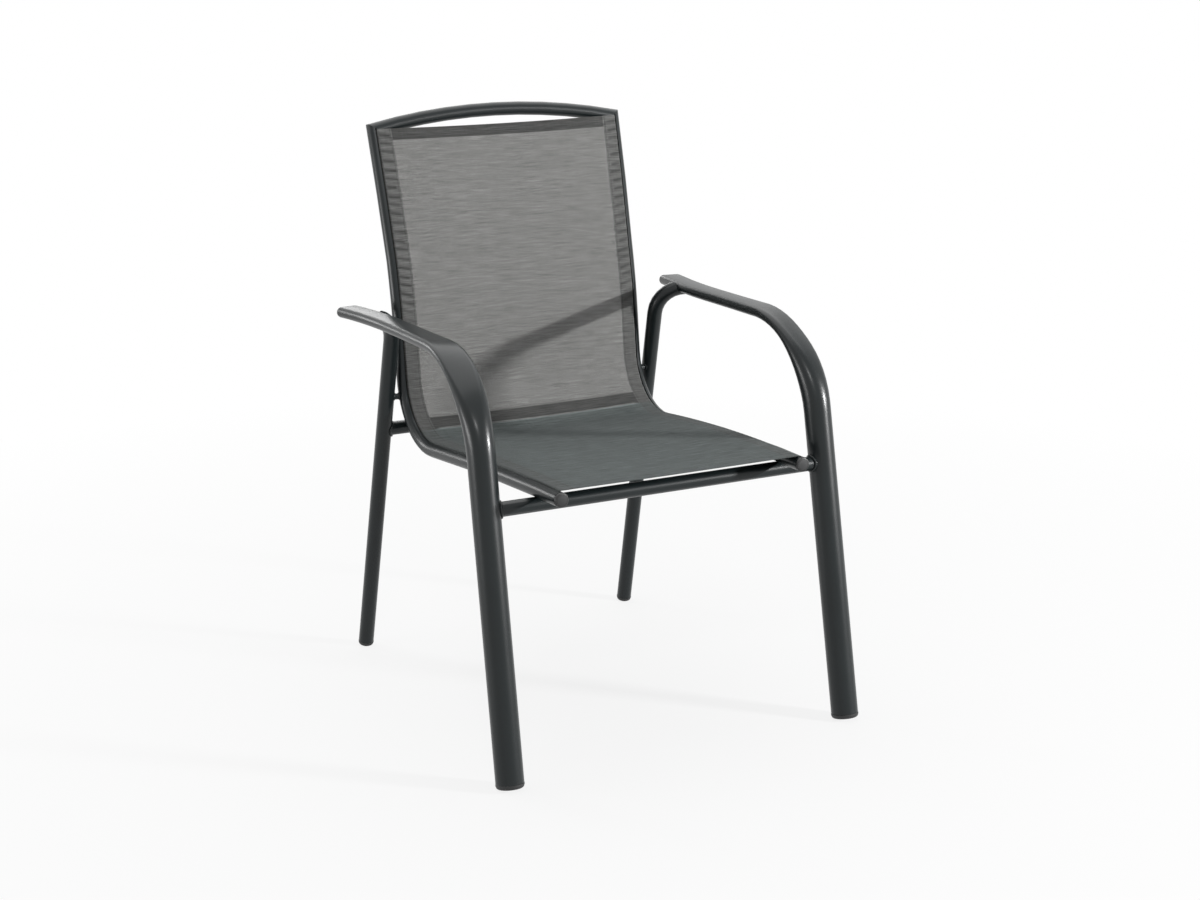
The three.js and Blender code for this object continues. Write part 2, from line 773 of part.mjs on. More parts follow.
// A closed sheet from two layers of points, its upper face first
function sheetGeometry(points, columns, rows) {
  const index = [];
  const layer = columns * rows;
  const quad = (a, b, c, d) => index.push(a, b, c, a, c, d);
  for (let row = 0; row + 1 < rows; row += 1) {
    for (let k = 0; k + 1 < columns; k += 1) {
      const a = row * columns + k;
      quad(a, a + columns, a + columns + 1, a + 1);
      quad(layer + a, layer + a + 1, layer + a + columns + 1, layer + a + columns);
    }
    const left = row * columns;
    const right = left + columns - 1;
    quad(left, layer + left, layer + left + columns, left + columns);
    quad(right, right + columns, layer + right + columns, layer + right);
  }
  for (let k = 0; k + 1 < columns; k += 1) {
    const top = layer - columns + k;
    quad(k, k + 1, layer + k + 1, layer + k);
    quad(top, layer + top, layer + top + 1, top + 1);
  }
  const geometry = new THREE.BufferGeometry();
  geometry.setAttribute('position', new THREE.Float32BufferAttribute(
    points.flatMap((point) => point.toArray()), 3));
  geometry.setIndex(index);
  geometry.computeVertexNormals();
  return geometry;
}

// Welt: the rod sewn into the sling's edge, deep in the groove
function slingWelt() {
  const shift = new THREE.Vector2(Math.sin(groove_angle), Math.cos(groove_angle))
    .multiplyScalar(welt_depth);
  const flat = roundedOutline(welt_diameter, welt_diameter, welt_sides)
    .map((corner) => corner.add(shift));
  return loft(railRings(flat, sling_from, sling_to));
}

// A rounded edge, as shares of its radius: how far along it and how far in
const rounding_shares = [
  { along: 0, inset: 1 },
  { along: 0.09, inset: 0.58 },
  { along: 0.36, inset: 0.23 },
  { along: 1, inset: 0 },
];

// Rail plug: a round head the size of the rail, and a stem in the rail's hollow
function railPlug() {
  const place = railStation(0);
  const back = (distance) => ({
    ...place,
    centre: place.centre.clone().addScaledVector(place.along, distance),
  });
  const inner = pegDiameter(rail_diameter - 2 * rail_wall, hollow_sides);
  const offset = half(inner - plug_stem_diameter);
  const stem_shift = new THREE.Vector2(-Math.sin(groove_angle) * offset,
    -Math.cos(groove_angle) * offset);
  const stem = roundedOutline(plug_stem_diameter, plug_stem_diameter, bar_sides)
    .map((corner) => corner.add(stem_shift));
  const round = (diameter) => roundedOutline(diameter, diameter, bar_sides);
  const face = -plug_gap - plug_head;
  return loft([
    ...rounding_shares.map(({ along, inset }) => ringAt(back(face + edge_rounding * along),
      round(rail_diameter - 2 * edge_rounding * inset))),
    ringAt(back(-plug_gap), round(rail_diameter)),
    ringAt(back(-plug_gap + gap), stem),
    ringAt(back(plug_stem), stem),
  ]);
}

// Glide: a foot square to the leg, with a rounded edge that is cut flat at the
// floor, and a stem up inside the tube
function glide(foot, up, lean, diameter, tube_wall, sides) {
  const across = new THREE.Vector3(0, 1, 0).cross(up).normalize();
  const front = new THREE.Vector3().crossVectors(up, across);
  const face = glideFace(diameter, lean);
  const ring = (size, distance) => ringAt({
    centre: foot.clone().addScaledVector(up, distance),
    across,
    up: front,
  }, roundedOutline(size, size, sides));
  const head = diameter + 2 * glide_rim;
  const stem = pegDiameter(diameter - 2 * tube_wall, sides / 2);
  const body = loft([
    ...rounding_shares.map(({ along, inset }) => ring(head - 2 * glide_rounding * inset,
      face + glide_rounding * along)),
    ring(head, face + glide_height - glide_rim),
    ring(diameter, face + glide_height),
    ring(stem, face + glide_height),
    ring(stem, face + glide_height + glide_stem),
  ]);
  return geometryOf(solidOf(body).trimByPlane([0, 0, 1], 0));
}

function frontGlide() {
  return glide(front_foot, front_up, leg_lean, leg_diameter, leg_wall, leg_sides);
}

function rearGlide() {
  return glide(rear_foot, rear_up, rear_leg_lean, rear_leg_diameter, rear_leg_wall,
    rear_leg_sides);
}

// Arm cap: a dome that ends the flattened arm, and a stem inside the arm
const dome_shares = [0, 0.3, 0.55, 0.75, 0.9, 0.98];

function armCap() {
  const place = armStation(arm_path.length);
  const at = (distance) => ({
    ...place,
    centre: place.centre.clone().addScaledVector(place.along, distance),
  });
  const flats = arm_width - arm_thickness;
  const peg = pegDiameter(arm_thickness - 2 * leg_wall, leg_sides / 2);
  const stem = roundedOutline(flats + peg, peg, leg_sides);
  const dome = dome_shares.map((share) => {
    const round = Math.sqrt(1 - share ** 2);
    const thickness = arm_thickness * round;
    return ringAt(at(gap + cap_dome * share),
      roundedOutline(thickness + flats * round, thickness, leg_sides));
  });
  return loft([ringAt(at(-cap_stem), stem), ringAt(at(gap), stem), ...dome]);
}

const chair = new THREE.Group();

function addMesh(name, geometry, finish) {
  const mesh = new THREE.Mesh(geometry, new THREE.MeshStandardMaterial(finish));
  mesh.name = name;
  chair.add(mesh);
}

// The chair's left side, seen by the sitter, is at +X
function addPair(name, geometry, finish) {
  addMesh(`left_${name}`, geometry, finish);
  addMesh(`right_${name}`, mirrored(geometry), finish);
}

addPair('front_leg_arm', frontLegArm(), frame_paint);
addPair('rear_leg', rearLeg(), frame_paint);
addPair('side_rail', sideRail(), frame_paint);
addMesh('top_rail', topRail(), frame_paint);
addMesh('front_crossbar', frontCrossbar(), frame_paint);
addMesh('rear_crossbar', rearCrossbar(), frame_paint);
addPair('rail_spacer', railSpacer(), frame_paint);
addMesh('sling', slingSheet(), mesh_cloth);
addPair('sling_welt', slingWelt(), black_plastic);
addPair('rail_plug', railPlug(), black_plastic);
addPair('front_glide', frontGlide(), black_plastic);
addPair('rear_glide', rearGlide(), black_plastic);
addPair('arm_cap', armCap(), grey_plastic);

export default chair;
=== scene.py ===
# Looks of the sling patio chair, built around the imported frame. Metres, +Z up,
# the chair faces -Y.

import math

import bpy
import numpy as np
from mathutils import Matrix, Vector
from mathutils.bvhtree import BVHTree


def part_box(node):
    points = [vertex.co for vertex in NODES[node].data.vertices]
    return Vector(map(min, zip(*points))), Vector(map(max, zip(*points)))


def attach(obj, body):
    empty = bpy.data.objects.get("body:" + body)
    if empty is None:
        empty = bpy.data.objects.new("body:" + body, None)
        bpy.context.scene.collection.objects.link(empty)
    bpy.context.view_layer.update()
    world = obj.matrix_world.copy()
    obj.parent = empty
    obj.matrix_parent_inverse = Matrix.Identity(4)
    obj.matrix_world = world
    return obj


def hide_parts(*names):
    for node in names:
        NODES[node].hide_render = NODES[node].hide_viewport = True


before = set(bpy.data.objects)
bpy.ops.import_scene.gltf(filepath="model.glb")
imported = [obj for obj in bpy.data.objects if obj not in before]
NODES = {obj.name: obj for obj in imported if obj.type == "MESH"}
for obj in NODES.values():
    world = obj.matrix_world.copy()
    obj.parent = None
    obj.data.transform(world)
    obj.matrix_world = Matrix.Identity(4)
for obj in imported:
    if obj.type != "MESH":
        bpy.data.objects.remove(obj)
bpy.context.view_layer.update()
RNG = np.random.default_rng(7)
MM = 0.001


# Camera, solved from the photograph
CAMERA_PLACE = (-1.4996, -2.9137, 1.2833)
CAMERA_AZIMUTH = math.radians(27.65)
CAMERA_PITCH = math.radians(15.27)
CAMERA_LENS = 65.06


def make_camera():
    data = bpy.data.cameras.new("camera")
    data.lens = CAMERA_LENS
    data.sensor_width = 36.0
    data.clip_start = 0.05
    data.clip_end = 200.0
    camera = bpy.data.objects.new("camera", data)
    camera.location = CAMERA_PLACE
    camera.rotation_euler = (math.pi / 2 - CAMERA_PITCH, 0.0, -CAMERA_AZIMUTH)
    bpy.context.scene.collection.objects.link(camera)
    bpy.context.scene.camera = camera


make_camera()


# The side rail's path, as in the solids: lengths in mm, angles in degrees
RAIL_START = (-313.30, 417.59, -1.25)
SEAT_LENGTH = 424.0
OVERHANG = 70.5
SEAT_TURN = 5.55
OVERHANG_TURN = SEAT_TURN * OVERHANG / SEAT_LENGTH
BEND_RADIUS = 106.0
UPPER_BACK = 210.0
RAIL_RUNS = (
    (OVERHANG, -OVERHANG_TURN),
    (SEAT_LENGTH - OVERHANG, OVERHANG_TURN - SEAT_TURN),
    (BEND_RADIUS * math.pi / 2, 90.0),
    (64.0, 0.0),
    (123.0, -7.3),
    (UPPER_BACK, -3.7),
)
RAIL_LENGTH = sum(run[0] for run in RAIL_RUNS)
RAIL_RADIUS = 11.0
HALF_MIDDLE = 209.5
FRONT_NARROWING = 10.0
TOP_WIDENING = 5.0


def rail_point(distance):
    """Where the rail's axis is at a distance from its front end, and its heading."""
    y, z = RAIL_START[0], RAIL_START[1]
    heading = math.radians(RAIL_START[2])
    left = distance
    for length, turn in RAIL_RUNS:
        walked = min(left, length)
        turned = math.radians(turn) * walked / length
        chord = walked
        if abs(turned) > 1e-9:
            chord = walked * math.sin(turned / 2) / (turned / 2)
        y += chord * math.cos(heading + turned / 2)
        z += chord * math.sin(heading + turned / 2)
        heading += turned
        left -= walked
        if left <= 0:
            break
    return y, z, heading


def rail_half_spacing(distance):
    """Half the distance between the two rails' axes."""
    left_of_seat = 1 - np.minimum(1.0, distance / SEAT_LENGTH)
    upper = np.maximum(0.0, distance - (RAIL_LENGTH - UPPER_BACK)) / UPPER_BACK
    return HALF_MIDDLE - FRONT_NARROWING * left_of_seat ** 2 + TOP_WIDENING * upper


def smooth(share):
    """0 to 1 with a soft start and end."""
    held = np.clip(share, 0.0, 1.0)
    return held * held * (3 - 2 * held)


# Small helpers for node materials
class Nodes:
    def __init__(self, name):
        self.material = bpy.data.materials.new(name)
        self.material.use_nodes = True
        self.tree = self.material.node_tree
        self.shader = self.tree.nodes["Principled BSDF"]
        self.output = self.tree.nodes["Material Output"]

    def add(self, kind, **settings):
        node = self.tree.nodes.new(kind)
        for key, value in settings.items():
            setattr(node, key, value)
        return node

    def link(self, source, target):
        self.tree.links.new(source, target)

    def math(self, operation, first, second=None, third=None, clamp=False):
        node = self.add("ShaderNodeMath", operation=operation, use_clamp=clamp)
        for socket, value in zip(node.inputs, (first, second, third)):
            if value is None:
                continue
            if isinstance(value, (int, float)):
                socket.default_value = value
            else:
                self.link(value, socket)
        return node.outputs[0]

    def noise(self, vector, scale, detail=2.0, roughness=0.5):
        node = self.add("ShaderNodeTexNoise")
        node.inputs["Scale"].default_value = scale
        node.inputs["Detail"].default_value = detail
        node.inputs["Roughness"].default_value = roughness
        self.link(vector, node.inputs["Vector"])
        return node.outputs["Fac"]

    def stretched_noise(self, vector, across, along, detail=2.0):
        mapping = self.add("ShaderNodeMapping")
        mapping.inputs["Scale"].default_value = (across, along, 1.0)
        self.link(vector, mapping.inputs["Vector"])
        return self.noise(mapping.outputs[0], 1.0, detail, 0.55)

    def ramp(self, value, stops):
        node = self.add("ShaderNodeValToRGB")
        elements = node.color_ramp.elements
        while len(elements) < len(stops):
            elements.new(0.5)
        for element, (place, colour) in zip(elements, stops):
            element.position = place
            element.color = (*colour, 1.0)
        self.link(value, node.inputs["Fac"])
        return node.outputs["Color"]

    def mix(self, share, first, second, blend="MIX"):
        node = self.add("ShaderNodeMix", data_type="RGBA", blend_type=blend)
        pairs = ((node.inputs["Factor"], share), (node.inputs[6], first), (node.inputs[7], second))
        for socket, value in pairs:
            if isinstance(value, (int, float)):
                socket.default_value = value
            elif isinstance(value, tuple):
                socket.default_value = (*value, 1.0)
            else:
                self.link(value, socket)
        return node.outputs[2]

    def bump(self, height, distance, strength=1.0, before=None):
        node = self.add("ShaderNodeBump")
        node.inputs["Strength"].default_value = strength
        node.inputs["Distance"].default_value = distance
        self.link(height, node.inputs["Height"])
        if before is not None:
            self.link(before, node.inputs["Normal"])
        return node.outputs["Normal"]

    def object_coords(self):
        return self.add("ShaderNodeTexCoord").outputs["Object"]


def grey(level):
    return (level, level, level)


# Powder coat: fine orange peel, a little mottling and lighter rubbed edges
def powder_coat(name, colour, roughness):
    made = Nodes(name)
    place = made.object_coords()
    peel = made.noise(place, 700.0, 2.0)
    grain = made.noise(place, 3600.0, 1.0)
    broad = made.noise(place, 9.0, 3.0)
    cloud = made.ramp(broad, ((0.3, grey(0.88)), (0.7, grey(1.12))))
    fleck = made.ramp(grain, ((0.4, grey(0.85)), (0.7, grey(1.2))))
    base = made.mix(1.0, colour, cloud, "MULTIPLY")
    base = made.mix(1.0, base, fleck, "MULTIPLY")
    worn = made.add("ShaderNodeNewGeometry").outputs["Pointiness"]
    edge = made.math("MULTIPLY", made.math("SUBTRACT", worn, 0.54), 6.0, clamp=True)
    base = made.mix(made.math("MULTIPLY", edge, 0.3), base, tuple(2.2 * c for c in colour))
    made.link(base, made.shader.inputs["Base Color"])
    made.link(made.math("MULTIPLY_ADD", broad, 0.1, roughness - 0.05),
              made.shader.inputs["Roughness"])
    made.shader.inputs["Specular IOR Level"].default_value = 0.27
    made.shader.inputs["Coat Weight"].default_value = 0.15
    made.shader.inputs["Coat Roughness"].default_value = 0.2
    normal = made.bump(peel, 0.00004, 0.4)
    made.link(made.bump(grain, 0.000015, 0.25, normal), made.shader.inputs["Normal"])
    return made.material


# Moulded plastic: slight grain and scuffs
def moulded_nodes(name, colour, roughness):
    made = Nodes(name)
    place = made.object_coords()
    grain = made.noise(place, 1500.0, 3.0)
    scuff = made.noise(place, 60.0, 4.0)
    shade = made.ramp(scuff, ((0.3, grey(0.85)), (0.75, grey(1.2))))
    made.link(made.mix(1.0, colour, shade, "MULTIPLY"), made.shader.inputs["Base Color"])
    made.link(made.math("MULTIPLY_ADD", scuff, 0.2, roughness - 0.1),
              made.shader.inputs["Roughness"])
    made.link(made.bump(grain, 0.00004, 0.5), made.shader.inputs["Normal"])
    return made


def moulded(name, colour, roughness):
    return moulded_nodes(name, colour, roughness).material


# End plugs: a flat middle inside a ring groove with painted shade in it, and a darker rim
PLUG_CENTRE_X = 0.1995
PLUG_CENTRE_Z = 0.4176
PLUG_GROOVE = 0.0082
PLUG_GROOVE_HALF = 0.0007
PLUG_RIM = 0.0089


def plug_finish(name, colour, roughness):
    made = moulded_nodes(name, colour, roughness)
    split = made.add("ShaderNodeSeparateXYZ")
    made.link(made.object_coords(), split.inputs[0])
    off_x = made.math("SUBTRACT", made.math("ABSOLUTE", split.outputs[0]), PLUG_CENTRE_X)
    off_z = made.math("SUBTRACT", split.outputs[2], PLUG_CENTRE_Z)
    squares = made.math("ADD", made.math("MULTIPLY", off_x, off_x),
                        made.math("MULTIPLY", off_z, off_z))
    radius = made.math("SQRT", squares)
    groove = made.math("COMPARE", radius, PLUG_GROOVE, PLUG_GROOVE_HALF)
    dark = made.math("GREATER_THAN", radius, PLUG_RIM)
    base = made.shader.inputs["Base Color"].links[0].from_socket
    # painted shade in the ring groove
    base = made.mix(made.math("MULTIPLY", groove, 0.85), base, (0.002, 0.002, 0.002))
    base = made.mix(made.math("MULTIPLY", dark, 0.5), base, (0.004, 0.004, 0.004))
    made.link(base, made.shader.inputs["Base Color"])
    before = made.shader.inputs["Normal"].links[0].from_socket
    sunk = made.math("SUBTRACT", 1.0, groove)
    made.link(made.bump(sunk, 0.0005, 0.8, before), made.shader.inputs["Normal"])
    return made.material


# Woven sling cloth. The UV map holds real sizes in metres: across, then along
YARN_PITCH = 0.0013
WEAVE_DEPTH = 0.00022
HOLE_FROM = 0.87
STITCH = 0.0034
STITCH_SHARE = 0.72
THREAD_HALF = 0.00035
DARK_YARN = (0.135, 0.135, 0.131)
MIDDLE_YARN = (0.205, 0.205, 0.201)
LIGHT_YARN = (0.290, 0.290, 0.285)
THREAD_COLOUR = (0.045, 0.046, 0.046)
# painted shade in the hollows between the yarns
HOLLOW_SHADE_COLOUR = (0.03, 0.03, 0.03)


def woven_cloth(name):
    made = Nodes(name)
    uv = made.add("ShaderNodeUVMap", uv_map="cloth").outputs["UV"]
    split = made.add("ShaderNodeSeparateXYZ")
    made.link(uv, split.inputs[0])
    across, along = split.outputs[0], split.outputs[1]

    def wave(value, pitch):
        turned = made.math("MULTIPLY", value, 2 * math.pi / pitch)
        return made.math("MULTIPLY_ADD", made.math("SINE", turned), 0.5, 0.5)

    def crest(value):
        return made.math("SINE", made.math("MULTIPLY", value, math.pi / YARN_PITCH))

    warp = wave(across, YARN_PITCH)
    weft = wave(along, YARN_PITCH)
    over = made.math("MULTIPLY_ADD", made.math("MULTIPLY", crest(across), crest(along)), 0.5, 0.5)
    lifted = made.math("MULTIPLY", warp, over)
    sunk = made.math("MULTIPLY", weft, made.math("SUBTRACT", 1.0, over))
    height = made.math("ADD", lifted, sunk)
    hollow = made.math("MULTIPLY", made.math("SUBTRACT", 1.0, warp),
                       made.math("SUBTRACT", 1.0, weft))

    # each weft yarn has lighter and darker lengths
    streak = made.stretched_noise(uv, 30.0, 760.0)
    slub = made.stretched_noise(uv, 7.0, 210.0, 3.0)
    warp_shade = made.stretched_noise(uv, 600.0, 14.0)
    yarn = made.ramp(streak, ((0.3, DARK_YARN), (0.5, MIDDLE_YARN), (0.72, LIGHT_YARN)))
    shade = made.ramp(warp_shade, ((0.3, grey(0.93)), (0.7, grey(1.05))))
    yarn = made.mix(1.0, yarn, shade, "MULTIPLY")
    slub_shade = made.ramp(slub, ((0.3, grey(0.86)), (0.72, grey(1.14))))
    yarn = made.mix(1.0, yarn, slub_shade, "MULTIPLY")
    tone = made.add("ShaderNodeVertexColor", layer_name="tone").outputs["Color"]
    yarn = made.mix(1.0, yarn, tone, "MULTIPLY")

    # rows of stitching along the hems and the seam
    off_line = made.add("ShaderNodeAttribute", attribute_name="off_stitch").outputs["Fac"]
    near = made.math("LESS_THAN", made.math("ABSOLUTE", off_line), THREAD_HALF)
    run = made.add("ShaderNodeAttribute", attribute_name="stitch_run").outputs["Fac"]
    part = made.math("FRACT", made.math("DIVIDE", run, STITCH))
    dash = made.math("LESS_THAN", part, STITCH_SHARE)
    thread = made.math("MULTIPLY", near, dash)
    yarn = made.mix(thread, yarn, THREAD_COLOUR)

    # painted shade in the hollows between the yarns
    hollow_shade = made.ramp(hollow, ((0.35, grey(0.0)), (0.75, grey(0.6))))
    colour = made.mix(hollow_shade, yarn, HOLLOW_SHADE_COLOUR)
    made.link(colour, made.shader.inputs["Base Color"])
    made.link(made.math("MULTIPLY_ADD", height, -0.1, 0.88), made.shader.inputs["Roughness"])
    made.shader.inputs["Specular IOR Level"].default_value = 0.1
    made.shader.inputs["Sheen Weight"].default_value = 0.02
    made.shader.inputs["Sheen Roughness"].default_value = 0.45
    raised = made.math("ADD", height, made.math("MULTIPLY", thread, 1.2))
    made.link(made.bump(raised, WEAVE_DEPTH, 0.8), made.shader.inputs["Normal"])

    # the open weave lets the ground behind show through its holes
    openness = made.add("ShaderNodeAttribute", attribute_name="open").outputs["Fac"]
    hole = made.math("GREATER_THAN", hollow, HOLE_FROM)
    clear = made.add("ShaderNodeBsdfTransparent")
    mixer = made.add("ShaderNodeMixShader")
    made.link(made.math("MULTIPLY", hole, openness), mixer.inputs["Fac"])
    made.link(made.shader.outputs[0], mixer.inputs[1])
    made.link(clear.outputs[0], mixer.inputs[2])
    made.link(mixer.outputs[0], made.output.inputs["Surface"])
    return made.material


PAINT = powder_coat("powder_coat", (0.0060, 0.0090, 0.0097), 0.34)
CAP_PAINT = powder_coat("cap_finish", (0.010, 0.013, 0.014), 0.42)
BLACK = moulded("black_plastic", (0.010, 0.0105, 0.011), 0.5)
PLUG = plug_finish("plug_plastic", (0.015, 0.016, 0.0165), 0.45)
CLOTH = woven_cloth("sling_cloth")

FINISHES = {
    "glide": BLACK,
    "welt": BLACK,
    "plug": PLUG,
    "cap": CAP_PAINT,
}


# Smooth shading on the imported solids, with their real edges kept sharp
MERGE_WITHIN = 0.00001
SHARP_FROM = math.radians(38)


def dress_solids():
    for name, node in NODES.items():
        material = next((m for key, m in FINISHES.items() if key in name), PAINT)
        node.data.materials.clear()
        node.data.materials.append(material)
        if node.data.has_custom_normals:
            with bpy.context.temp_override(object=node, active_object=node):
                bpy.ops.mesh.customdata_custom_splitnormals_clear()
        node.data.shade_smooth()
        weld = node.modifiers.new("weld", "WELD")
        weld.merge_threshold = MERGE_WITHIN
        edges = node.modifiers.new("edges", "EDGE_SPLIT")
        edges.split_angle = SHARP_FROM


dress_solids()


# The sling: a seat panel and a back panel, hemmed all round and joined by an
# overlapping seam in the bend. Sizes in mm, distances along the rail's path.
SLING_FROM = 5.0
SLING_TO = RAIL_LENGTH - 2.0
HEM_WIDTH = 25.0
END_HEM = 17.5
HEM_THICK = 1.5
HEM_EDGE_THICK = 0.6
CLOTH_HALF = 0.4
EDGE_ROUND = 1.95
LIFT = 12.3
GROOVE_ANGLE = math.radians(4.0)
SAG = 4.0
HEM_SAG = 0.5
SAG_RISE = 100
SLACK = 0.25
TOP_DIP = 2.5
TOP_DIP_REACH = 55
SEAM_FROM = 482.0
SEAM_TO = 510.5
SEAM_LIFT = 0.45
SEAM_RIDGE = 1.25
RIDGE_WIDTH = 2.2
STITCH_INSET = 3.0
NO_STITCH_NEAR = 99.0

# Gathers in the side hems: even up the back, nearly gone below
GATHER_PITCH = 12.9
GATHER_WIDENING = 1.3
VALLEY_WIDTH = 0.19
VALLEY_DEPTH = 1.3
CREST = 0.35
CALM_TO = 640
CALM_FADE = 110
CALM_SHARE = 0.85
WIDENS_FROM = 560
WIDENS_OVER = 300
SLANT = 10.0
SLANT_EASING = 7.0
GATHERS = 200
JITTER = RNG.uniform(-0.1, 0.1, (2, GATHERS))
DEPTHS = RNG.uniform(0.75, 1.25, (2, GATHERS))
REACHES = RNG.uniform(0.8, 1.06, (2, GATHERS))

# Shares of the yarn's colour: one layer, hems, end hems, and the seat, whose darker, bluer tone is
# painted shade and a painted bluish sheen
BACK_TONE = np.array([0.81, 0.81, 0.797])
HEM_TONE = 0.655
# painted shade: the side hems darker low down the sling, below about 620 mm along the rail
HEM_LOW_SHADE = 0.13
HEM_SHADE_TO = 620
HEM_SHADE_FADE = 90
END_HEM_TONE = 0.345
DOUBLE_TINT = np.array([1.0, 1.005, 1.0])
SEAT_SHADE_AND_SHEEN_TONE = np.array([0.487, 0.553, 0.559])
SEAT_SHARE_IN_HEM = 0.6
# painted highlight along the seam's ridge
RIDGE_HIGHLIGHT = 1.3
LEFT_VALLEY_SHADE = 0.45
RIGHT_VALLEY_SHADE = 0.56

# Painted shade of soft creases across the seat, over the front bar and below the seam: place, width,
# depth
CREASE_SHADES = ((74.0, 6.0, 0.09), (445.0, 24.0, 0.10))


def edge_profile():
    """Points (inwards, lift) of the cloth on one side, out of the groove."""
    mouth = RAIL_RADIUS * math.sin(GROOVE_ANGLE) + 0.65
    points = [(mouth - 0.35, 6.2), (mouth - 0.15, 8.6), (mouth, LIFT - EDGE_ROUND)]
    for k in range(1, 6):
        angle = math.radians(90 * k / 5)
        points.append((mouth + EDGE_ROUND * (1 - math.cos(angle)),
                       LIFT - EDGE_ROUND + EDGE_ROUND * math.sin(angle)))
    first = mouth + EDGE_ROUND
    inner = list(np.linspace(first, HEM_WIDTH - STITCH_INSET, 15)[1:])
    inner += [HEM_WIDTH - 1.5, HEM_WIDTH]
    return points + [(place, LIFT) for place in inner]


def pucker_lift(rows, inward, side):
    """Gathers across the side hems: lift, and how deep in a valley."""
    up_the_back = smooth((rows - WIDENS_FROM) / WIDENS_OVER)
    calm = 1 - smooth((rows - CALM_TO) / CALM_FADE)
    share = (inward - 2.0) / (HEM_WIDTH - 2.0)
    slant = (SLANT - SLANT_EASING * up_the_back)[:, None] * share[None, :]
    pitch = GATHER_PITCH + GATHER_WIDENING * up_the_back
    turns = np.concatenate([[0.0], np.cumsum(np.diff(rows) / pitch[1:])])
    phase = turns[:, None] + slant / pitch[:, None]
    index = np.floor(phase).astype(int) % GATHERS
    jitter = JITTER[side][index]
    depth = DEPTHS[side][index]
    part = phase - np.floor(phase) - 0.5 + jitter
    valley = np.clip(np.exp(-(part / VALLEY_WIDTH) ** 2) * depth, 0, 1)
    across = smooth((share + 0.06) / 0.14) * smooth((REACHES[side][index] - share) / 0.2)
    strength = (1 - CALM_SHARE * calm)[:, None] * across
    return (CREST - VALLEY_DEPTH * valley) * strength, valley * strength


def sling_rows():
    """Rows of points along the rail, closer at the seam and at the hems' edges."""
    rows = list(np.arange(SLING_FROM, SLING_TO, 1.5)) + [SLING_TO]
    rows += list(np.arange(SEAM_FROM - 4, SEAM_FROM + 4, 0.7))
    rows += [SLING_FROM + END_HEM - STITCH_INSET, SLING_FROM + END_HEM, SLING_FROM + END_HEM + 0.5]
    rows += [SLING_TO - END_HEM + STITCH_INSET, SLING_TO - END_HEM, SLING_TO - END_HEM - 0.5]
    rows += [SEAM_TO - 0.3, SEAM_TO + 0.3, SEAM_TO - STITCH_INSET]
    return np.unique(np.round(rows, 3))


def sling_tones(rows, x, valley, inside, ridge, side_hem, single_layer):
    """The share of the yarn's colour at each point, with painted shade and a painted highlight in
    it.
    """
    # painted shade on the side hems low down the sling
    low = (1 - smooth((rows - HEM_SHADE_TO) / HEM_SHADE_FADE))[:, None]
    hems = np.where(side_hem, HEM_TONE - HEM_LOW_SHADE * low, END_HEM_TONE)
    double = hems[..., None] * DOUBLE_TINT
    # the seat's darker, bluer tone: painted shade and a painted bluish sheen on the same cloth
    on_seat = (1 - smooth((rows - SEAM_FROM + 2) / 2))[:, None]
    on_seat = on_seat * np.where(side_hem, SEAT_SHARE_IN_HEM, 1.0)
    tone = double + (BACK_TONE - double) * single_layer[..., None]
    tone = tone + (SEAT_SHADE_AND_SHEEN_TONE - tone) * on_seat[..., None]
    # painted shade along soft creases across the seat
    crease_shade = sum(depth * np.exp(-((rows - place) / width) ** 2) for place, width, depth in CREASE_SHADES)
    uneven = 0.75 + 0.25 * np.sin(x / 60.0 + 1)
    tone = tone * (1 - crease_shade[:, None] * inside * uneven)[..., None]
    # painted highlight along the seam's ridge
    tone = tone * (1 + RIDGE_HIGHLIGHT * (ridge[:, None] * inside)[..., None])
    shade = np.where(x > 0, LEFT_VALLEY_SHADE, RIGHT_VALLEY_SHADE)
    return tone * (1 - shade * valley)[..., None]


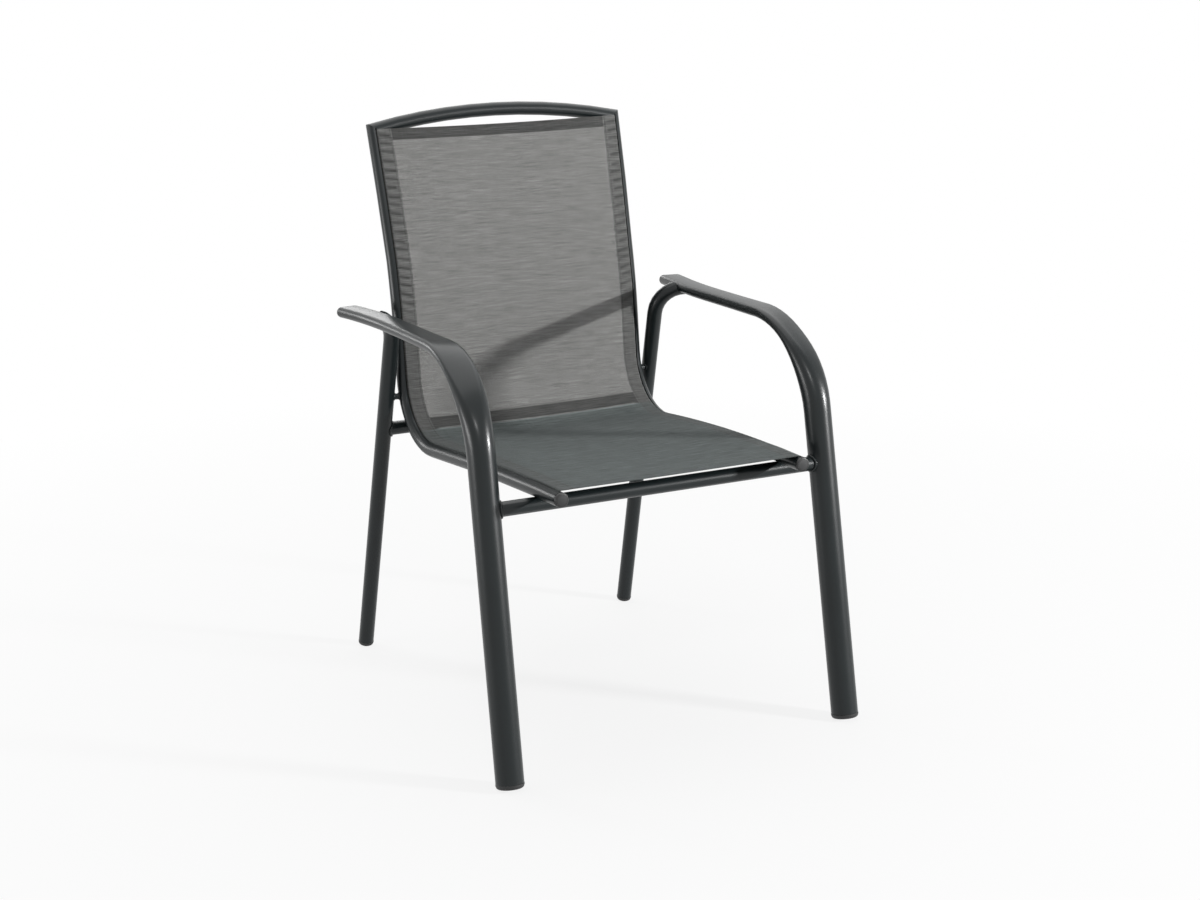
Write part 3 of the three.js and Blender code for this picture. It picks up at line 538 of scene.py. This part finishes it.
def make_sling():
    """The sling's front and back points in rows along the rail, and their fields."""
    rows = sling_rows()
    edge = np.array(edge_profile())
    inward = edge[:, 0]
    path = np.array([rail_point(d) for d in rows])
    spacing = rail_half_spacing(rows)
    inner = spacing - inward[-1]
    span = np.concatenate([[0.0012], np.linspace(0, 1, 36)[1:-1], [0.9988]])
    count = len(span)
    hem = len(inward)

    left_lift, left_valley = pucker_lift(rows, inward, 0)
    right_lift, right_valley = pucker_lift(rows, inward, 1)
    from_end = np.minimum(rows - SLING_FROM, SLING_TO - rows)
    sag = HEM_SAG + (SAG - HEM_SAG) * smooth(from_end / SAG_RISE)
    middle_x = inner[:, None] * (1 - 2 * span[None, :])
    middle_lift = LIFT - sag[:, None] * (1 - (1 - 2 * span[None, :]) ** 2)

    x = np.hstack([spacing[:, None] - inward[None, :], middle_x,
                   (inward[None, :] - spacing[:, None])[:, ::-1]])
    lift = np.hstack([edge[None, :, 1] + left_lift, middle_lift,
                      (edge[None, :, 1] + right_lift)[:, ::-1]])
    valley = np.hstack([left_valley, np.zeros((len(rows), count)), right_valley[:, ::-1]])
    side_hem = np.zeros(x.shape, dtype=bool)
    side_hem[:, :hem] = True
    side_hem[:, -hem:] = True
    inside = smooth((np.minimum(x + inner[:, None], inner[:, None] - x)) / 6.0)

    # the overlap is one layer thicker, and its lower edge is a rounded ridge
    in_seam = (rows > SEAM_FROM) & (rows < SEAM_TO)
    ridge = np.exp(-((rows - SEAM_FROM) / RIDGE_WIDTH) ** 2)
    lift += inside * (SEAM_LIFT * in_seam + SEAM_RIDGE * ridge)[:, None]
    slack = SLACK * np.sin(rows / 31.0)[:, None] * np.sin(x / 47.0) * inside
    lift += slack

    near_top = smooth((rows - SLING_TO + TOP_DIP_REACH) / TOP_DIP_REACH)
    dip = -TOP_DIP * near_top[:, None] * np.clip(1 - (x / x[:, :1]) ** 2, 0, 1)
    sin, cos = np.sin(path[:, 2])[:, None], np.cos(path[:, 2])[:, None]
    y = path[:, 0][:, None] - sin * lift + cos * dip
    z = path[:, 1][:, None] + cos * lift + sin * dip
    top = np.stack([x, y, z], axis=2) * MM
    normal = np.cross(np.gradient(top, axis=1), np.gradient(top, axis=0))
    normal /= np.linalg.norm(normal, axis=2, keepdims=True)
    normal *= np.sign(normal[len(rows) // 3, x.shape[1] // 2, 2])
    front = top + normal * (CLOTH_HALF * MM)

    thick = np.full(x.shape, HEM_THICK)
    thick[:, hem - 1] = HEM_EDGE_THICK
    thick[:, -hem] = HEM_EDGE_THICK
    thick[np.isclose(from_end, END_HEM)] = HEM_EDGE_THICK
    thick[from_end < END_HEM - 0.2] = HEM_THICK
    back = front - normal * (thick * MM)[..., None]

    on_back = smooth((rows - SEAM_TO + 0.3) / 0.6)[:, None]
    in_end = smooth((END_HEM + 0.5 - from_end) / 0.5)[:, None]
    single_layer = on_back * np.where(side_hem, 0.0, 1.0) * (1 - in_end)
    tone = sling_tones(rows, x, valley, inside, ridge, side_hem, single_layer)

    steps = np.linalg.norm(np.diff(top, axis=1), axis=2)
    u = np.hstack([np.zeros((len(rows), 1)), np.cumsum(steps, axis=1)])
    u -= u[:, -1:] / 2
    v = np.repeat(rows[:, None] * MM, x.shape[1], axis=1)

    line = HEM_WIDTH - STITCH_INSET
    edge_off = np.hstack([inward, np.full(count, NO_STITCH_NEAR), inward[::-1]]) - line
    side_off = np.repeat(edge_off[None, :], len(rows), axis=0)
    end_off = np.repeat((from_end - (END_HEM - STITCH_INSET))[:, None], x.shape[1], axis=1)
    seam_off = np.repeat(np.minimum(np.abs(rows - SEAM_FROM - STITCH_INSET),
                                    np.abs(rows - SEAM_TO + STITCH_INSET))[:, None],
                         x.shape[1], axis=1)
    seam_off = np.where(side_hem, NO_STITCH_NEAR, seam_off)
    distances = np.abs(np.stack([side_off, end_off, seam_off]))
    choice = np.argmin(distances, axis=0)
    off = np.min(distances, axis=0) * MM
    run = np.where(choice == 0, v, u + 1.0)

    folded = side_hem | (from_end <= END_HEM + 0.01)[:, None]
    return {
        "front": front, "back": back, "u": u, "v": v, "tone": tone, "open": single_layer,
        "off": off, "run": run, "folded": folded,
        "over": (rows >= SEAM_FROM) & (rows <= SEAM_TO),
    }


def cloth_object(name, made):
    """One sheet, folded back at its hems and doubled in the seam's overlap."""
    front, back = made["front"], made["back"]
    height, width = front.shape[:2]
    layer = height * width
    grid = np.arange(layer).reshape(height, width)
    folded = made["folded"] | made["over"][:, None]

    def cells(offset, keep, flip):
        a, b = grid[:-1, :-1][keep], grid[:-1, 1:][keep]
        c, d = grid[1:, 1:][keep], grid[1:, :-1][keep]
        order = (a, b, c, d) if flip else (a, d, c, b)
        return np.stack(order, 1) + offset

    every = np.ones((height - 1, width - 1), dtype=bool)
    doubled = folded[:-1, :-1] & folded[:-1, 1:] & folded[1:, :-1] & folded[1:, 1:]
    faces = [cells(0, every, False), cells(layer, doubled, True)]

    # the folds at the top and front edges
    vertices = [front.reshape(-1, 3), back.reshape(-1, 3)]
    start = 2 * layer
    sources = [np.arange(layer), np.arange(layer)]
    for row, inner_row, flip in ((0, 1, False), (height - 1, height - 2, True)):
        outward = front[row] - front[inner_row]
        outward /= np.linalg.norm(outward, axis=1, keepdims=True)
        bulge = (front[row] + back[row]) / 2 + outward * (HEM_THICK * MM / 2)
        vertices.append(bulge)
        sources.append(grid[row])
        mid = start + np.arange(width)
        for one, two in ((grid[row], mid), (mid, grid[row] + layer)):
            quad = [one[:-1], one[1:], two[1:], two[:-1]]
            faces.append(np.stack(quad[::-1] if flip else quad, 1))
        start += width

    vertices = np.concatenate(vertices)
    sources = np.concatenate(sources)
    faces = np.concatenate(faces)
    used, compact = np.unique(faces, return_inverse=True)
    faces = compact.reshape(faces.shape)
    vertices, sources = vertices[used], sources[used]

    mesh = bpy.data.meshes.new(name)
    mesh.from_pydata(vertices.tolist(), [], faces.tolist())
    uv = np.stack([made["u"].ravel(), made["v"].ravel()], 1)[sources]
    corner = np.zeros(len(mesh.loops), dtype=np.int32)
    mesh.loops.foreach_get("vertex_index", corner)
    mesh.uv_layers.new(name="cloth").data.foreach_set("uv", uv[corner].ravel())
    colour = np.ones((len(sources), 4))
    colour[:, :3] = made["tone"].reshape(-1, 3)[sources]
    mesh.color_attributes.new("tone", "FLOAT_COLOR", "POINT").data.foreach_set(
        "color", colour.ravel())
    for key, field in (("open", "open"), ("off_stitch", "off"), ("stitch_run", "run")):
        values = made[field].ravel()[sources].astype(np.float32)
        mesh.attributes.new(key, "FLOAT", "POINT").data.foreach_set("value", values)
    mesh.shade_smooth()
    piece = bpy.data.objects.new(name, mesh)
    bpy.context.scene.collection.objects.link(piece)
    return piece


made_sling = make_sling()
sling = cloth_object("sling_cloth", made_sling)
sling.data.materials.append(CLOTH)
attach(sling, "root")
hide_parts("sling")


# Weld beads where the tubes meet: each follows a tube's rim onto its neighbour
CROSSBAR_RADIUS = 0.011
SPACER_RADIUS = 0.005
FRONT_BAR_END = 0.262
REAR_BAR_END = 0.232
FRONT_BEAD = 0.0025
REAR_BEAD = 0.0023
SPACER_BEAD = 0.0011
SPACER_STEPS = 24
SPACER_REACH = 0.009
BEAD_SIDES = 8
BEAD_RIPPLE = 0.13
BEAD_UNEVEN = 0.06


def node_tree(name):
    mesh = NODES[name].data
    mesh.calc_loop_triangles()
    points = [v.co.copy() for v in mesh.vertices]
    return BVHTree.FromPolygons(points, [tuple(t.vertices) for t in mesh.loop_triangles])


def rim_on(target, centre, axis, radius, steps=44, reach=0.03):
    """Points where a tube's wall, carried on along its axis, meets the target."""
    tree = node_tree(target)
    axis = Vector(axis).normalized()
    side = axis.orthogonal().normalized()
    other = axis.cross(side)
    path = []
    for k in range(steps):
        angle = 2 * math.pi * k / steps
        out = side * math.cos(angle) + other * math.sin(angle)
        start = Vector(centre) + out * radius - axis * reach
        hit = tree.ray_cast(start, axis, 2 * reach)[0]
        if hit is not None:
            path.append((hit, out))
    return path


def bead(name, path, axis, size):
    """A rippled bead swept along the path, half sunk in both tubes."""
    axis = Vector(axis).normalized()
    vertices, faces = [], []
    around = BEAD_SIDES
    for k, (point, out) in enumerate(path):
        uneven = float(RNG.uniform(-BEAD_UNEVEN, BEAD_UNEVEN))
        width = size * (1 + BEAD_RIPPLE * math.sin(k * 2.4) + uneven)
        centre = point + out * (0.25 * size) - axis * (0.35 * size)
        for j in range(around):
            turn = 2 * math.pi * j / around
            vertices.append(centre + (out * math.cos(turn) - axis * math.sin(turn)) * width)
    count = len(path)
    for k in range(count):
        here, there = k * around, ((k + 1) % count) * around
        for j in range(around):
            nxt = (j + 1) % around
            faces.append((here + j, here + nxt, there + nxt, there + j))
    mesh = bpy.data.meshes.new(name)
    mesh.from_pydata([tuple(v) for v in vertices], [], faces)
    mesh.materials.append(PAINT)
    mesh.shade_smooth()
    piece = bpy.data.objects.new(name, mesh)
    bpy.context.scene.collection.objects.link(piece)
    smoother = piece.modifiers.new("smooth", "SUBSURF")
    smoother.levels = smoother.render_levels = 1
    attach(piece, "root")


def middle(name):
    low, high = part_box(name)
    return (Vector(low) + Vector(high)) / 2


def weld_joints():
    """Beads at both ends of the crossbars and spacers. The chair's left is +X."""
    front, rear = middle("front_crossbar"), middle("rear_crossbar")
    for sign, side in ((1, "left"), (-1, "right")):
        out = (sign, 0, 0)
        start = (sign * FRONT_BAR_END, front.y, front.z)
        path = rim_on(side + "_front_leg_arm", start, out, CROSSBAR_RADIUS)
        bead(side + "_front_crossbar_weld", path, out, FRONT_BEAD)
        start = (sign * REAR_BAR_END, rear.y, rear.z)
        path = rim_on(side + "_rear_leg", start, out, CROSSBAR_RADIUS)
        bead(side + "_rear_crossbar_weld", path, out, REAR_BEAD)
        spacer = middle(side + "_rail_spacer")
        path = rim_on(side + "_rear_leg", spacer, out, SPACER_RADIUS, SPACER_STEPS, SPACER_REACH)
        bead(side + "_spacer_outer_weld", path, out, SPACER_BEAD)
        inward = (-sign, 0, 0)
        path = rim_on(side + "_side_rail", spacer, inward, SPACER_RADIUS, SPACER_STEPS, SPACER_REACH)
        bead(side + "_spacer_inner_weld", path, inward, SPACER_BEAD)


weld_joints()


# Stage and light
FLOOR_REACH = 80.0
FLOOR_WHITE = 0.8
FLOOR_WHITE_PER_METRE = 0.1
WORLD_STRENGTH = 0.15


def white_share(made):
    """1 for what the camera sees straight, in a reflection or through glass."""
    path = made.add("ShaderNodeLightPath")
    seen = made.math("MAXIMUM", path.outputs["Is Camera Ray"], path.outputs["Is Glossy Ray"])
    return made.math("MAXIMUM", seen, path.outputs["Is Transmission Ray"])


def make_floor():
    made = Nodes("floor_white")
    made.shader.inputs["Base Color"].default_value = (0.6, 0.6, 0.6, 1)
    made.shader.inputs["Roughness"].default_value = 0.95
    made.shader.inputs["Specular IOR Level"].default_value = 0.0
    plain = made.add("ShaderNodeEmission")
    plain.inputs["Color"].default_value = (1, 1, 1, 1)
    plain.inputs["Strength"].default_value = 1.0
    # pure white further out, and enough of the plain floor near the chair for a shadow
    length = made.add("ShaderNodeVectorMath", operation="LENGTH")
    made.link(made.object_coords(), length.inputs[0])
    away = made.math("MULTIPLY_ADD", length.outputs["Value"], FLOOR_WHITE_PER_METRE,
                     FLOOR_WHITE, clamp=True)
    mixer = made.add("ShaderNodeMixShader")
    made.link(made.math("MULTIPLY", white_share(made), away), mixer.inputs["Fac"])
    made.link(made.shader.outputs[0], mixer.inputs[1])
    made.link(plain.outputs[0], mixer.inputs[2])
    made.link(mixer.outputs[0], made.output.inputs["Surface"])
    mesh = bpy.data.meshes.new("floor")
    reach = FLOOR_REACH
    corners = [(-reach, -reach, 0), (reach, -reach, 0), (reach, reach, 0), (-reach, reach, 0)]
    mesh.from_pydata(corners, [], [(0, 1, 2, 3)])
    mesh.materials.append(made.material)
    floor = bpy.data.objects.new("floor", mesh)
    bpy.context.scene.collection.objects.link(floor)


def area_light(name, place, aim, size, power):
    data = bpy.data.lights.new(name, "AREA")
    data.shape = "RECTANGLE"
    data.size = size[0]
    data.size_y = size[1]
    data.energy = power
    lamp = bpy.data.objects.new(name, data)
    lamp.location = place
    lamp.rotation_euler = (Vector(aim) - Vector(place)).to_track_quat("-Z", "Y").to_euler()
    bpy.context.scene.collection.objects.link(lamp)


def make_world(strength):
    world = bpy.data.worlds.new("studio")
    world.use_nodes = True
    bpy.context.scene.world = world
    tree = world.node_tree
    dim = tree.nodes["Background"]
    dim.inputs["Color"].default_value = (1, 1, 1, 1)
    dim.inputs["Strength"].default_value = strength
    white = tree.nodes.new("ShaderNodeBackground")
    white.inputs["Color"].default_value = (1, 1, 1, 1)
    white.inputs["Strength"].default_value = 1.0
    path = tree.nodes.new("ShaderNodeLightPath")
    seen = path.outputs["Is Camera Ray"]
    for kind in ("Is Glossy Ray", "Is Transmission Ray"):
        either = tree.nodes.new("ShaderNodeMath")
        either.operation = "MAXIMUM"
        tree.links.new(seen, either.inputs[0])
        tree.links.new(path.outputs[kind], either.inputs[1])
        seen = either.outputs[0]
    mixer = tree.nodes.new("ShaderNodeMixShader")
    tree.links.new(seen, mixer.inputs["Fac"])
    tree.links.new(dim.outputs[0], mixer.inputs[1])
    tree.links.new(white.outputs[0], mixer.inputs[2])
    tree.links.new(mixer.outputs[0], tree.nodes["World Output"].inputs["Surface"])


# name, place, aim, size, power in watts
LAMPS = (
    ("key", (2.76, -2.66, 1.35), (0, 0, 0.5), (0.4, 0.07), 182),
    ("ceiling", (0.3, 1.5, 3.2), (0.3, 0.9, 0.0), (5.0, 4.2), 100),
    ("fill", (-1.3, -2.42, 2.6), (0, 0, 0.5), (0.5, 0.4), 18),
    ("side", (-2.9, 0.55, 0.54), (0, 0, 0.62), (1.5, 0.46), 26),
    ("rim", (0.75, 3.3, 1.45), (0, 0, 0.55), (0.9, 0.5), 5),
    ("rear_side", (-1.9, 2.9, 1.2), (0, 0, 0.5), (0.6, 1.0), 16),
)

make_floor()
make_world(WORLD_STRENGTH)
for lamp in LAMPS:
    area_light(*lamp)
bpy.context.scene.view_settings.view_transform = "Standard"
